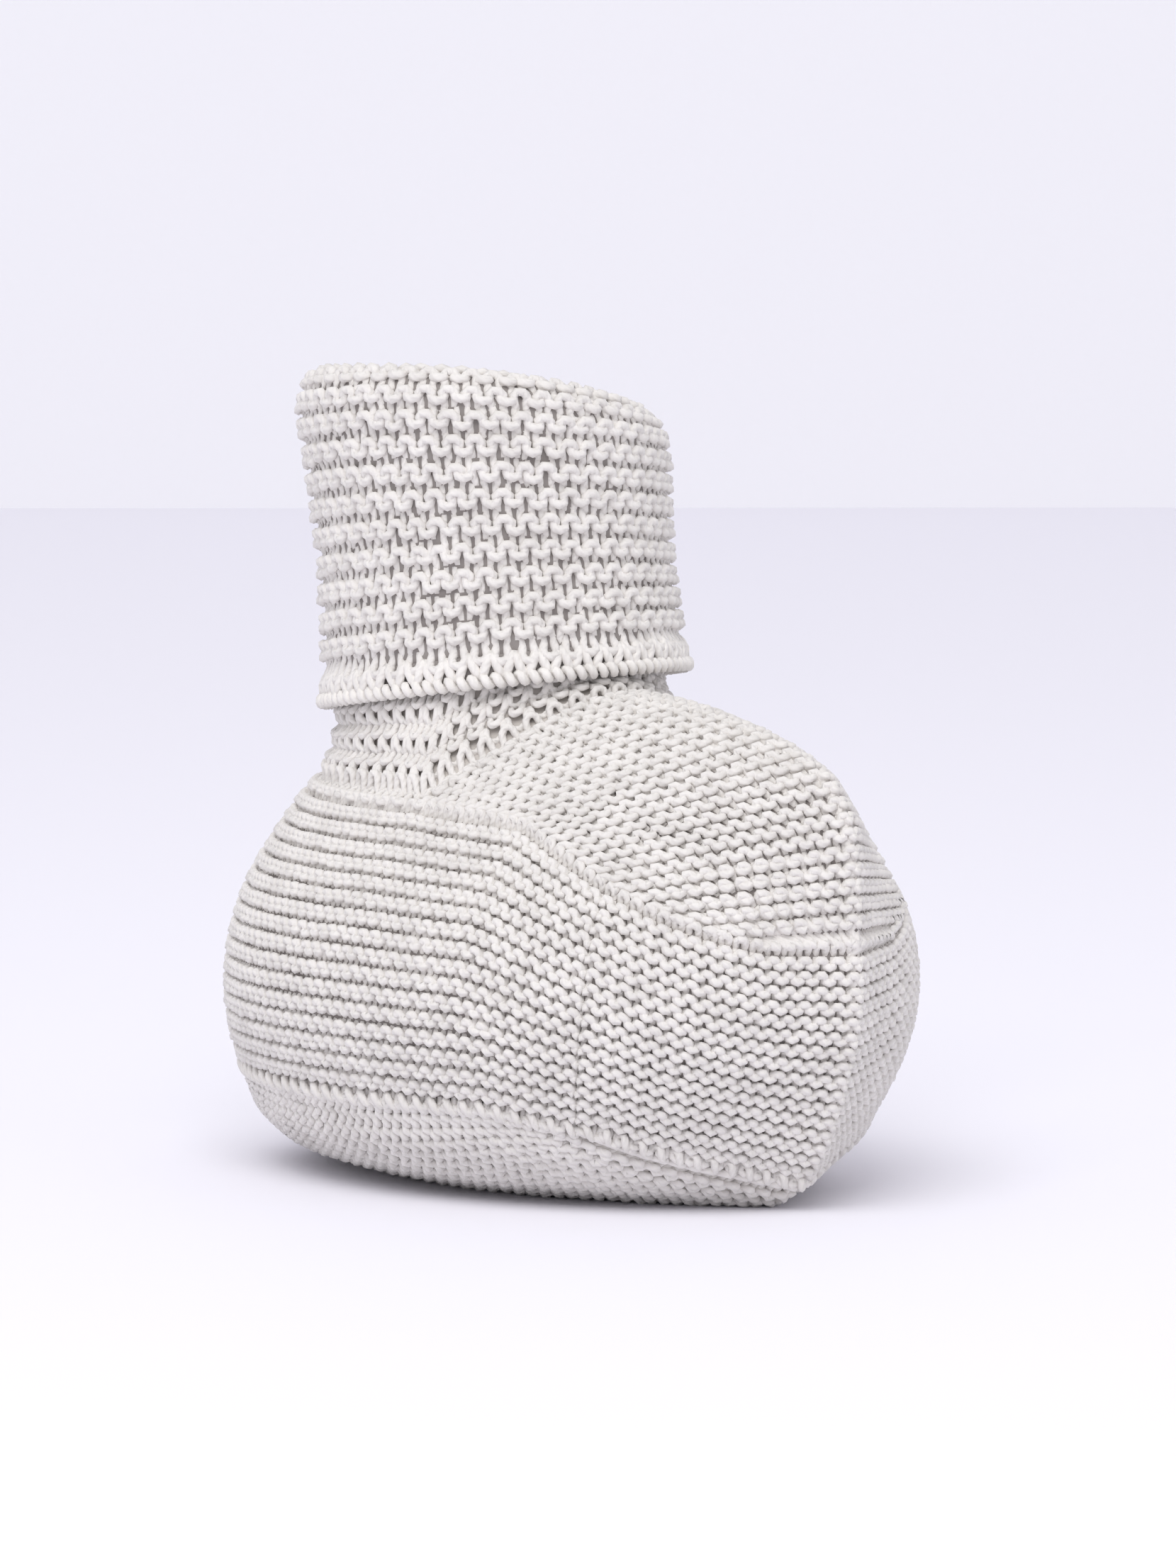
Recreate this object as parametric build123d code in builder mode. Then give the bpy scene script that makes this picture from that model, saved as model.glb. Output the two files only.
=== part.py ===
"""A knitted baby bootie: a foot, an ankle band, a leg tube and a cuff turned down over the leg.

Frame: +X towards the toe, +Y to the wearer's left, +Z up.
The origin is on the ground under the middle of the foot.
The foot is a sole, a side wall and an instep flap, knitted panels of one thickness joined with lines of yarn.
The leg leans back a little, and the cuff hangs from a fold that lies on the leg's top edge.
"""

import math
import os

from build123d import *

os.makedirs("parts", exist_ok=True)

# Driving dimensions, in millimetres and degrees
FABRIC = 2.0  # thickness of one layer of garter stitch
GAP = 0.4  # clearance between the leg and the cuff that slides on it
YARN_PROUD = 0.4  # how far a line of joining yarn stands out of the fabric
YARN_SUNK = 0.6  # how far it is sunk in the fabric
YARN_WIDTH = 1.2

LEG_X = -15.2  # centre of the ankle
LEG_LEAN = 6.0  # the leg leans this far back from upright
LEG_RADIUS = 18.4  # outside of the leg tube
LEG_BASE = Plane(
    origin=(LEG_X, 0, 50.0),
    x_dir=(math.cos(math.radians(LEG_LEAN)), 0, math.sin(math.radians(LEG_LEAN))),
    z_dir=(-math.sin(math.radians(LEG_LEAN)), 0, math.cos(math.radians(LEG_LEAN))),
)
# Distances along the leg's axis, from LEG_BASE
BAND_FOOT = -10.0  # where the ankle band's cone starts, inside the foot
BAND_END = 4.6
LEG_START = 5.0
HEM_START = 3.2
EDGE_HEIGHT = 2.4  # the cast-off edge along the cuff's hem
LONG = 60.0  # past the rim, for tubes that the rim's plane then cuts

RIM_Z = 86.5  # top of the fold, level
CUFF_RADIUS = LEG_RADIUS + GAP + FABRIC
MOUTH_RADIUS = LEG_RADIUS - FABRIC
BIG = 80.0  # half size of the solids that only cut

SOLE_EDGE_Z = 9.6  # the sole's edge is level, and runs down at the toe
SOLE_EDGE_TOE_Z = 2.2
WALL_TOP_Z = 42.5  # the wall's top edge round the back of the ankle
BAND_CORNER_X = -1.5  # where the wall, the flap and the ankle band meet
FLAP_LINE = ((BAND_CORNER_X, WALL_TOP_Z), (12.5, 41.5), (22.0, 37.2), (33.0, 32.3), (40.0, 29.3), (BIG, 28.0))
FLAP_BACK = ((6.0, 54.5), (6.0, 95.0))  # the flap's edge over the front of the ankle

OUTLINE_POINTS = 24
HEEL_ROUNDNESS = 2.15  # exponent of the outline behind its widest point, where 2 is an ellipse
# Outlines of the foot, one a row: height, back, front, widest at, half width, exponent in front.
# An exponent near 1 in front gives the toe its keel.
OUTLINES = (
    (0.0, -36.5, 33.5, -3.5, 20.0, 1.6),
    (1.8, -40.5, 35.5, -3.5, 23.0, 1.7),
    (5.0, -43.5, 38.5, -4.5, 27.0, 1.8),
    (10.0, -45.1, 41.5, -5.5, 29.6, 1.9),
    (22.0, -45.5, 45.5, -7.5, 32.0, 2.0),
    (32.0, -43.8, 45.0, -6.5, 29.5, 1.9),
    (38.5, -40.3, 44.0, -6.5, 25.5, 1.65),
    (44.0, -35.5, 42.0, -5.5, 21.5, 1.4),
    (48.0, -26.5, 37.0, -4.0, 16.0, 1.35),
    (51.3, -18.0, 27.0, -1.5, 10.5, 1.4),
    (53.2, -12.0, 17.0, 0.0, 6.0, 1.6),
    (54.0, -6.5, 9.0, 1.0, 2.8, 2.0),
)


def outline_points(back, front, widest, half_width, roundness, inset):
    """Points of |x / a|^n + |y / b|^n = 1, with its own a and n on each side of the widest point, from the toe."""
    points = []
    for i in range(OUTLINE_POINTS):
        c = math.cos(2 * math.pi * i / OUTLINE_POINTS)
        s = math.sin(2 * math.pi * i / OUTLINE_POINTS)
        n = roundness if c > 0 else HEEL_ROUNDNESS
        length = front - widest if c > 0 else widest - back
        x = math.copysign(abs(c) ** (2 / n), c)
        y = math.copysign(abs(s) ** (2 / n), s)
        points.append((widest + (length - inset) * x, (half_width - inset) * y))
    return points


def foot_volume(inset):
    """The foot as one closed volume, moved inwards by inset, and never below the ground."""
    floor = max(inset, 0)
    top = OUTLINES[-1][0] - inset
    with BuildPart() as volume:
        for height, *outline in OUTLINES:
            z = floor + (top - floor) * height / OUTLINES[-1][0]
            with BuildSketch(Plane.XY.offset(z)):
                with BuildLine():
                    Spline(*outline_points(*outline, inset), periodic=True)
                make_face()
        loft()
    return volume.part


def ankle_cone(inset):
    """The solid inside the ankle band: wide where it stands in the foot, then as wide as the leg."""
    start = (23.4 - inset, BAND_FOOT)
    middle = (19.8 - inset, BAND_FOOT / 2)
    waist = (LEG_RADIUS - inset, 0)
    with BuildPart() as cone:
        with BuildSketch(Plane(LEG_BASE.origin, LEG_BASE.x_dir, -LEG_BASE.y_dir)):
            with BuildLine():
                Spline(start, middle, waist)
                Polyline(waist, (LEG_RADIUS - inset, LONG), (0, LONG), (0, BAND_FOOT), start)
            make_face()
        revolve(axis=Axis(LEG_BASE.origin, LEG_BASE.z_dir))
    return cone.part


def leg_cylinder(radius, start, end):
    """A cylinder on the leg's axis, from start to end along it."""
    with BuildPart() as cylinder:
        with BuildSketch(LEG_BASE.offset(start)):
            Circle(radius)
        extrude(amount=end - start)
    return cylinder.part


def side_slab(points, half_width=BIG):
    """A solid whose side view, in X and Z, is the polygon of points."""
    with BuildPart() as slab:
        with BuildSketch(Plane.XZ):
            with BuildLine():
                Polyline(*points, close=True)
            make_face()
        extrude(amount=half_width, both=True)
    return slab.part


def level_slab(low, high):
    """Everything between two heights."""
    return side_slab(((-BIG, low), (BIG, low), (BIG, high), (-BIG, high)))


def band_line(line, half_height):
    """The strip within half_height above and below a line in side view."""
    above = [(x, z + half_height) for x, z in line]
    below = [(x, z - half_height) for x, z in reversed(line)]
    return side_slab(above + below)


def half_space(side):
    """Everything on one side of the foot: side is 1 for the wearer's left, -1 for the right."""
    with BuildPart() as half:
        with Locations((0, side * BIG, 0)):
            Box(4 * BIG, 2 * BIG, 4 * BIG)
    return half.part


def back_strip(half_width):
    """Everything behind the leg's axis within half_width of the middle plane."""
    with BuildPart() as strip:
        with Locations((LEG_X - BIG, 0, 0)):
            Box(2 * BIG, 2 * half_width, 4 * BIG)
    return strip.part


def keep(node, label):
    """Name a finished piece and write its file."""
    node.part.label = label
    export_step(node.part, f"parts/{label}.step")


# Regions that divide the knitted skin of the foot into its panels
SOLE_TOE = ((14.0, SOLE_EDGE_Z), (25.0, 7.8), (32.0, 4.4), (36.0, SOLE_EDGE_TOE_Z))
SOLE_LINE = ((-BIG, SOLE_EDGE_Z), *SOLE_TOE, (BIG, SOLE_EDGE_TOE_Z))
sole_region = side_slab(((-BIG, -5), (BIG, -5), *reversed(SOLE_LINE)))
flap_region = side_slab((*FLAP_LINE, (BIG, FLAP_BACK[1][1]), *reversed(FLAP_BACK)))
band_region = side_slab(((-BIG, WALL_TOP_Z), FLAP_LINE[0], *FLAP_BACK, (-BIG, 95.0)))

# The foot's skin
with BuildPart() as foot_skin:
    add(foot_volume(0))
    add(foot_volume(FABRIC), mode=Mode.SUBTRACT)

with BuildPart() as yarn_skin:
    add(foot_volume(-YARN_PROUD))
    add(foot_volume(YARN_SUNK), mode=Mode.SUBTRACT)

inside_ankle = ankle_cone(FABRIC)

# Sole
with BuildPart() as sole_panel:
    add(foot_skin.part)
    add(sole_region, mode=Mode.INTERSECT)
keep(sole_panel, "sole_panel")

# Side wall, one strip round the heel, both sides and the toe
with BuildPart() as side_wall:
    add(foot_skin.part)
    add(sole_region, mode=Mode.SUBTRACT)
    add(flap_region, mode=Mode.SUBTRACT)
    add(band_region, mode=Mode.SUBTRACT)
    add(inside_ankle, mode=Mode.SUBTRACT)
keep(side_wall, "side_wall")

# Instep flap, over the top of the foot
with BuildPart() as instep_flap:
    add(foot_skin.part)
    add(flap_region, mode=Mode.INTERSECT)
    add(leg_cylinder(LEG_RADIUS, BAND_FOOT, LONG), mode=Mode.SUBTRACT)
keep(instep_flap, "instep_flap")

# Ankle band with its rows of eyelets, from the foot up to the leg
with BuildPart() as ankle_band:
    add(ankle_cone(0))
    add(inside_ankle, mode=Mode.SUBTRACT)
    add(band_region, mode=Mode.INTERSECT)
    add(leg_cylinder(BIG, BAND_END, LONG + 1), mode=Mode.SUBTRACT)
keep(ankle_band, "ankle_band")

# Leg tube, under the cuff
with BuildPart() as leg_tube:
    add(leg_cylinder(LEG_RADIUS, LEG_START, LONG))
    add(leg_cylinder(MOUTH_RADIUS, LEG_START - 1, LONG + 1), mode=Mode.SUBTRACT)
    add(level_slab(-5, RIM_Z - FABRIC - GAP), mode=Mode.INTERSECT)
keep(leg_tube, "leg_tube")

# Cuff: the turned-down layer and the fold over the leg's top edge
with BuildPart() as room_for_leg:
    add(leg_cylinder(LEG_RADIUS + GAP, HEM_START, LONG))
    add(level_slab(-5, RIM_Z - FABRIC), mode=Mode.INTERSECT)

with BuildPart() as cuff:
    add(leg_cylinder(CUFF_RADIUS, HEM_START + EDGE_HEIGHT, LONG))
    add(level_slab(-5, RIM_Z), mode=Mode.INTERSECT)
    add(room_for_leg.part, mode=Mode.SUBTRACT)
    add(leg_cylinder(MOUTH_RADIUS, HEM_START, LONG + 1), mode=Mode.SUBTRACT)
keep(cuff, "cuff")

# Cast-off edge, a plait of yarn along the cuff's hem
with BuildPart() as cuff_edge:
    add(leg_cylinder(CUFF_RADIUS + YARN_PROUD, HEM_START, HEM_START + EDGE_HEIGHT))
    add(leg_cylinder(LEG_RADIUS + GAP, HEM_START - 1, HEM_START + EDGE_HEIGHT + 1), mode=Mode.SUBTRACT)
keep(cuff_edge, "cuff_edge")

# Line of yarn that joins the sole to the wall
with BuildPart() as sole_join_yarn:
    add(yarn_skin.part)
    add(band_line(SOLE_LINE, YARN_WIDTH / 2), mode=Mode.INTERSECT)
keep(sole_join_yarn, "sole_join_yarn")

# Lines of yarn that join the flap to the wall, one each side of the toe's keel
for side, label in ((1, "flap_join_yarn_left"), (-1, "flap_join_yarn_right")):
    with BuildPart() as flap_join_yarn:
        add(yarn_skin.part)
        add(band_line(FLAP_LINE, YARN_WIDTH / 2), mode=Mode.INTERSECT)
        add(half_space(side), mode=Mode.INTERSECT)
        add(leg_cylinder(LEG_RADIUS + FABRIC, BAND_FOOT, LONG), mode=Mode.SUBTRACT)
    keep(flap_join_yarn, label)

# Line of yarn that closes the wall's two ends at the heel
with BuildPart() as heel_seam_yarn:
    add(yarn_skin.part)
    add(back_strip(YARN_WIDTH / 2), mode=Mode.INTERSECT)
    add(level_slab(SOLE_EDGE_Z + YARN_WIDTH, WALL_TOP_Z - YARN_WIDTH), mode=Mode.INTERSECT)
keep(heel_seam_yarn, "heel_seam_yarn")

# Line of yarn inside the leg's lower edge, where the leg is joined to the ankle band
with BuildPart() as ankle_join_yarn:
    add(leg_cylinder(MOUTH_RADIUS + YARN_SUNK, LEG_START, LEG_START + YARN_WIDTH))
    add(leg_cylinder(MOUTH_RADIUS - YARN_PROUD, LEG_START - 1, LONG), mode=Mode.SUBTRACT)
keep(ankle_join_yarn, "ankle_join_yarn")

# Line of yarn that closes the leg tube, on its inside at the back
with BuildPart() as leg_seam_yarn:
    add(leg_cylinder(MOUTH_RADIUS + YARN_SUNK, LEG_START + 2 * YARN_WIDTH, LONG))
    add(leg_cylinder(MOUTH_RADIUS - YARN_PROUD, LEG_START, LONG + 1), mode=Mode.SUBTRACT)
    add(back_strip(YARN_WIDTH / 2), mode=Mode.INTERSECT)
    add(level_slab(-5, RIM_Z - 2 * FABRIC), mode=Mode.INTERSECT)
keep(leg_seam_yarn, "leg_seam_yarn")

# Line of yarn that closes the cuff at the back
with BuildPart() as cuff_seam_yarn:
    add(leg_cylinder(CUFF_RADIUS + YARN_PROUD, HEM_START + EDGE_HEIGHT + YARN_WIDTH, LONG))
    add(leg_cylinder(CUFF_RADIUS - YARN_SUNK, HEM_START, LONG + 1), mode=Mode.SUBTRACT)
    add(back_strip(YARN_WIDTH / 2), mode=Mode.INTERSECT)
    add(level_slab(-5, RIM_Z - FABRIC), mode=Mode.INTERSECT)
keep(cuff_seam_yarn, "cuff_seam_yarn")
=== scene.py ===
"""A knitted baby bootie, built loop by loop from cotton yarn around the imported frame.

Every panel is knitted: each row is one strand of yarn laid along a surface, stitch after stitch, and the
rows hook into each other as they do in garter stitch. Lengths inside the classes are in millimetres, in the
frame's own axes (+X towards the toe, +Y to the wearer's left, +Z up), and become metres in the mesh.
"""

import logging
import math
from dataclasses import dataclass, field
from enum import Enum
from typing import Any, Callable, Dict, List, Sequence, Tuple

import bpy
import numpy as np
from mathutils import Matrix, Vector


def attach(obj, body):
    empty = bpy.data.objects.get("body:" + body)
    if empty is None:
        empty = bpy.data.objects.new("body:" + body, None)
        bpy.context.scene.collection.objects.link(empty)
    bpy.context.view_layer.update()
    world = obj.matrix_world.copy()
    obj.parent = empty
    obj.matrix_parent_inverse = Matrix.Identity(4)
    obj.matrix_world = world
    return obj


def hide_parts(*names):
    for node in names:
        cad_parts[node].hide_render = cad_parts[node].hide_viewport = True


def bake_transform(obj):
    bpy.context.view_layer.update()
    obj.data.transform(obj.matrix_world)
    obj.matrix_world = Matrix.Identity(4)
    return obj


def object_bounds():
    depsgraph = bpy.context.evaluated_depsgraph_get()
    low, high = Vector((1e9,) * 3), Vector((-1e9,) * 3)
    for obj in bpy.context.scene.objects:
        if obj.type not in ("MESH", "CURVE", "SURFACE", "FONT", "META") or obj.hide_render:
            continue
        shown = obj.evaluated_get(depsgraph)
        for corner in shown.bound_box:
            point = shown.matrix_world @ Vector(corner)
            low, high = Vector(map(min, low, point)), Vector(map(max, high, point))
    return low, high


MM = 0.001
TURN = 2 * math.pi
SEGMENTS = 11  # points along the yarn in one stitch
SEAM_SEGMENTS = 12  # points along the yarn in one stitch of a seam
SIDES = 6  # points around the yarn
TWIST_LENGTH = 0.9  # length of yarn for one unit of its UV map, in millimetres
YARN_SLOT, LINING_SLOT = 0, 1  # places in a piece's list of materials; the lining's slot holds a painted shade
LINING_STEP = 4  # how many of a skin's grid points one of its lining's takes up
FAR = 80.0  # past the foot's surface from anywhere inside it, in millimetres
SIDEWAYS = 1.5  # almost a right angle, in radians
STEEP = 1000.0  # how fast the foot's measure of outside grows above its top and under the floor
FLAP_START = -2.0  # X ahead of which the foot's top edge is the flap's
TINY = 1e-9  # keeps divisions by a length away from nothing

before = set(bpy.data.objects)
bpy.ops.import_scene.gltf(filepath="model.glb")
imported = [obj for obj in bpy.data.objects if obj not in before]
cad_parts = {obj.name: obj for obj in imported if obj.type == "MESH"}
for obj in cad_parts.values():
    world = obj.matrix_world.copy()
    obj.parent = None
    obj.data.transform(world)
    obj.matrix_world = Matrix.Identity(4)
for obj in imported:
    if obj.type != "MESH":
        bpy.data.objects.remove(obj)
CAD_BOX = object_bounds()
LOG = logging.getLogger("bootie")

Grid = np.ndarray
Colour = Tuple[float, float, float]


# ---------------------------------------------------------------- finishes


class Graph:
    """A material's nodes, with its shader ready made."""

    def __init__(self, name: str) -> None:
        self.material = bpy.data.materials.new(name)
        self.material.use_nodes = True
        self.tree = self.material.node_tree
        self.shader = self.tree.nodes["Principled BSDF"]

    def set(self, node: bpy.types.Node, inputs: Dict[str, Any]) -> None:
        """Set a node's inputs: an output socket is linked, anything else is the input's value.

        Args:
            node: of the material.
            inputs: value or socket by the input's name.
        """
        for name, value in inputs.items():
            if isinstance(value, bpy.types.NodeSocket):
                self.tree.links.new(value, node.inputs[name])
            else:
                node.inputs[name].default_value = value

    def add(self, kind: str, inputs: Dict[str, Any] | None = None) -> bpy.types.Node:
        """Add a node of a kind, with its inputs.

        Args:
            kind: Blender's name of the node.
            inputs: value or socket by the input's name.

        Returns:
            The node.
        """
        node = self.tree.nodes.new(kind)
        self.set(node, inputs or {})
        return node


@dataclass(frozen=True)
class YarnFinish:
    """Matt cotton yarn: soft colour drift, a ply twist along the strand and fine fibres on it.

    Attributes:
        name: of the material.
        light: colour where the drift is lightest.
        dark: colour where it is darkest.
        ply_depth: strength of the twist's relief.
        fibre_depth: strength of the fibres' relief.
        sheen: weight of the soft light along the outlines.
    """

    name: str
    light: Colour
    dark: Colour
    ply_depth: float = 0.5
    fibre_depth: float = 0.35
    sheen: float = 0.25

    def build(self) -> bpy.types.Material:
        """Make the node material.

        Returns:
            The material, which reads the strand's UV map for the twist and Object coordinates for the rest.
        """
        graph = Graph(self.name)
        graph.set(graph.shader, {
            "Roughness": 0.92, "Specular IOR Level": 0.2, "Sheen Weight": self.sheen, "Sheen Roughness": 0.5,
            "Base Color": (*self.light, 1.0),
        })
        place = graph.add("ShaderNodeTexCoord").outputs["Object"]
        drift = graph.add("ShaderNodeTexNoise", {"Scale": 260.0, "Detail": 4.0, "Vector": place})
        ramp = graph.add("ShaderNodeValToRGB", {"Fac": drift.outputs["Fac"]})
        stops = ((0.32, self.dark), (0.62, self.light))
        for element, (position, colour) in zip(ramp.color_ramp.elements, stops):
            element.position, element.color = position, (*colour, 1.0)
        strand = graph.add("ShaderNodeUVMap")
        strand.uv_map = "strand"
        turns = graph.add(
            "ShaderNodeMapping", {"Scale": (TURN / 10, 3 * TURN / 10, 1.0), "Vector": strand.outputs["UV"]}
        )
        ply = graph.add(
            "ShaderNodeTexWave",
            {"Scale": 1.0, "Distortion": 0.6, "Detail": 2.0, "Vector": turns.outputs["Vector"]},
        )
        ply.wave_type, ply.bands_direction = "BANDS", "DIAGONAL"
        fibre = graph.add("ShaderNodeTexNoise", {"Scale": 5200.0, "Detail": 3.0, "Vector": place})
        twist = graph.add(
            "ShaderNodeBump",
            {"Strength": self.ply_depth, "Distance": 0.12 * MM, "Height": ply.outputs["Fac"]},
        )
        fuzz = graph.add(
            "ShaderNodeBump",
            {
                "Strength": self.fibre_depth, "Distance": 0.08 * MM, "Height": fibre.outputs["Fac"],
                "Normal": twist.outputs["Normal"],
            },
        )
        graph.set(graph.shader, {"Base Color": ramp.outputs["Color"], "Normal": fuzz.outputs["Normal"]})
        return graph.material


@dataclass(frozen=True)
class StudioFinish:
    """Seamless paper for the floor and the backdrop."""

    name: str
    colour: Colour

    def build(self) -> bpy.types.Material:
        """Make the node material, with a very faint grain in its roughness."""
        graph = Graph(self.name)
        place = graph.add("ShaderNodeTexCoord").outputs["Object"]
        grain = graph.add("ShaderNodeTexNoise", {"Scale": 40.0, "Vector": place})
        spread = graph.add(
            "ShaderNodeMapRange", {"To Min": 0.7, "To Max": 0.8, "Value": grain.outputs["Fac"]}
        )
        graph.set(graph.shader, {
            "Base Color": (*self.colour, 1.0), "Specular IOR Level": 0.1,
            "Roughness": spread.outputs["Result"],
        })
        return graph.material


# ---------------------------------------------------------------- shapes


def follow(knots: Sequence[float], values: Grid, at: Grid) -> Grid:
    """Read a smooth curve through given values: cubic pieces whose slopes match at every knot.

    Args:
        knots: increasing places of the values.
        values: one value, or one row of values, for each knot.
        at: places to read.

    Returns:
        The values there, with the knots' range held at both ends.
    """
    knots = np.asarray(knots, float)
    values = np.asarray(values, float)
    at = np.clip(np.asarray(at, float), knots[0], knots[-1])
    slopes = np.gradient(values, knots, axis=0)
    i = np.clip(np.searchsorted(knots, at, side="right") - 1, 0, len(knots) - 2)
    width = knots[i + 1] - knots[i]
    f = (at - knots[i]) / width
    if values.ndim > 1:
        width, f = width[..., None], f[..., None]
    ease = f * f * (3 - 2 * f)
    return (
        values[i] * (1 - ease)
        + values[i + 1] * ease
        + width * (slopes[i] * f * (1 - f) ** 2 - slopes[i + 1] * f * f * (1 - f))
    )


def halve(test: Callable[[Grid], Grid], low: Grid, high: Grid, rounds: int = 34) -> Grid:
    """Find where test changes from negative at low to positive at high, by halving the interval.

    Args:
        test: reads places and gives a sign.
        low: places before the change.
        high: places after it.
        rounds: how often the interval is halved.

    Returns:
        The places of the change.
    """
    low, high = np.array(low, float), np.array(high, float)
    for _ in range(rounds):
        middle = (low + high) / 2
        negative = test(middle) < 0
        low = np.where(negative, middle, low)
        high = np.where(negative, high, middle)
    return (low + high) / 2


def even_out(points: Grid, rows: int) -> Grid:
    """Respace a grid's rows so that they are equally far apart along every column.

    Args:
        points: grid of rows, columns and 3.
        rows: number of rows in the result.

    Returns:
        The grid with that many rows: each new point divides its column's length as the row number says.
    """
    steps = np.linalg.norm(np.diff(points, axis=0), axis=2)
    length = np.concatenate([np.zeros((1, points.shape[1])), np.cumsum(steps, axis=0)])
    target = np.linspace(0, 1, rows)[:, None] * length[-1]
    below = np.clip((length[None] <= target[:, None]).sum(axis=1) - 1, 0, len(points) - 2)
    start = np.take_along_axis(length, below, axis=0)
    stop = np.take_along_axis(length, below + 1, axis=0)
    share = np.clip((target - start) / np.maximum(stop - start, TINY), 0, 1)[..., None]
    lower = np.take_along_axis(points, below[..., None], axis=0)
    upper = np.take_along_axis(points, below[..., None] + 1, axis=0)
    return lower + (upper - lower) * share


def soften(values: Grid, reach: int) -> Grid:
    """Average values round a closed line with their neighbours up to reach places away."""
    return sum(np.roll(values, shift, axis=0) for shift in range(-reach, reach + 1)) / (2 * reach + 1)


@dataclass
class Skin:
    """A smooth surface held as a grid of points, read anywhere between them.

    Attributes:
        points: rows, columns and 3; rows run down the fabric and columns along its rows of stitches.
        closed: the last column joins the first.
        normals: the outward direction at each point.
    """

    points: Grid
    closed: bool = True
    normals: Grid = field(init=False)

    def __post_init__(self) -> None:
        """Work out the normals: the cross product of the two directions along the grid."""
        if self.closed:
            along = np.roll(self.points, -1, axis=1) - np.roll(self.points, 1, axis=1)
        else:
            along = np.gradient(self.points, axis=1)
        down = np.gradient(self.points, axis=0)
        normal = np.cross(down, along)
        self.normals = normal / np.maximum(np.linalg.norm(normal, axis=2, keepdims=True), TINY)

    def at(self, u: Grid, v: Grid, height: Grid) -> Tuple[Grid, Grid]:
        """Points of the surface, moved out along its normal.

        Args:
            u: place along the rows, from 0 to 1.
            v: place down the columns, from 0 to 1. Just past an edge the surface goes straight on.
            height: distance out of the surface.

        Returns:
            The points and the outward normals there.
        """
        rows, columns = self.points.shape[:2]
        down = np.asarray(v) * (rows - 1)
        i = np.clip(np.floor(down).astype(int), 0, rows - 2)
        fv = (down - i)[..., None]
        if self.closed:
            across = (u % 1.0) * columns
            j = across.astype(int) % columns
            k = (j + 1) % columns
        else:
            across = np.asarray(u) * (columns - 1)
            j = np.clip(np.floor(across).astype(int), 0, columns - 2)
            k = j + 1
        fu = (across - np.floor(across) if self.closed else across - j)[..., None]

        def read(table: Grid) -> Grid:
            """A table's values between the four grid points about each place, by shares of their distance."""
            top = table[i, j] * (1 - fu) + table[i, k] * fu
            bottom = table[i + 1, j] * (1 - fu) + table[i + 1, k] * fu
            return top * (1 - fv) + bottom * fv

        normal = read(self.normals)
        normal /= np.maximum(np.linalg.norm(normal, axis=-1, keepdims=True), TINY)
        return read(self.points) + normal * np.asarray(height)[..., None], normal


# ---------------------------------------------------------------- yarn


class Row(Enum):
    """What stands out of the fabric in one row of loops."""

    HEADS_OUT = "the heads stand out: the upper row of a ridge"
    FEET_OUT = "the feet stand out: the lower row of a ridge"
    LEGS_OUT = "the legs stand out, V by V"


@dataclass(frozen=True)
class Gauge:
    """How a fabric is knitted.

    Attributes:
        yarn: diameter of the strand.
        depth: how far heads and feet stand out of the fabric's middle, or are sunk in it.
        reach: half the height of a loop, in rows. Loops overlap their neighbours where it is over a half.
        waist: how much a loop narrows between its head and its foot, in stitches.
        pinch: how much the two legs of a loop draw together, in stitches, which opens eyelets.
        unevenness: how much stitches differ, as a share of a stitch.
    """

    yarn: float
    depth: float
    reach: float = 0.82
    waist: float = 0.13
    pinch: float = 0.0
    unevenness: float = 0.05

    @property
    def skin(self) -> float:
        """Distance from the fabric's outer face to its middle."""
        return self.depth + self.yarn / 2

    def loop(self, turn: Grid, kind: float) -> Tuple[Grid, Grid, Grid]:
        """The centre line of the yarn in a row of loops.

        One turn of the angle is one stitch, from foot to foot over the head. Along the row the yarn moves
        evenly, plus a sine of twice the angle that spreads foot and head. Up the fabric it is minus a cosine.
        Its height swings with the cosine, so head and foot lie on opposite faces, or with twice the angle
        where both legs stand out.

        Args:
            turn: the angle, in radians.
            kind: 1 where heads stand out, -1 where feet do, 0 where legs do.

        Returns:
            Place along the row in stitches, place up the fabric in rows, and height in millimetres.
        """
        drawn = self.pinch if kind == 0 else 0.0
        along = turn / TURN + self.waist * np.sin(2 * turn) + drawn * np.sin(turn)
        up = -self.reach * np.cos(turn)
        swing = -kind * np.cos(turn)
        swing = swing + 0.22 * np.maximum(swing, 0) - 0.18 * np.sin(turn) ** 2
        legs = -0.8 * np.cos(2 * turn)
        return along, up, self.depth * (legs if kind == 0 else swing)


KIND_SIGN = {Row.HEADS_OUT: 1.0, Row.FEET_OUT: -1.0, Row.LEGS_OUT: 0.0}


def garter(rows: int) -> List[Row]:
    """Rows of garter stitch from the top down: each ridge is a row of heads over a row of feet."""
    return [Row.HEADS_OUT if i % 2 == 0 else Row.FEET_OUT for i in range(rows)]


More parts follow.
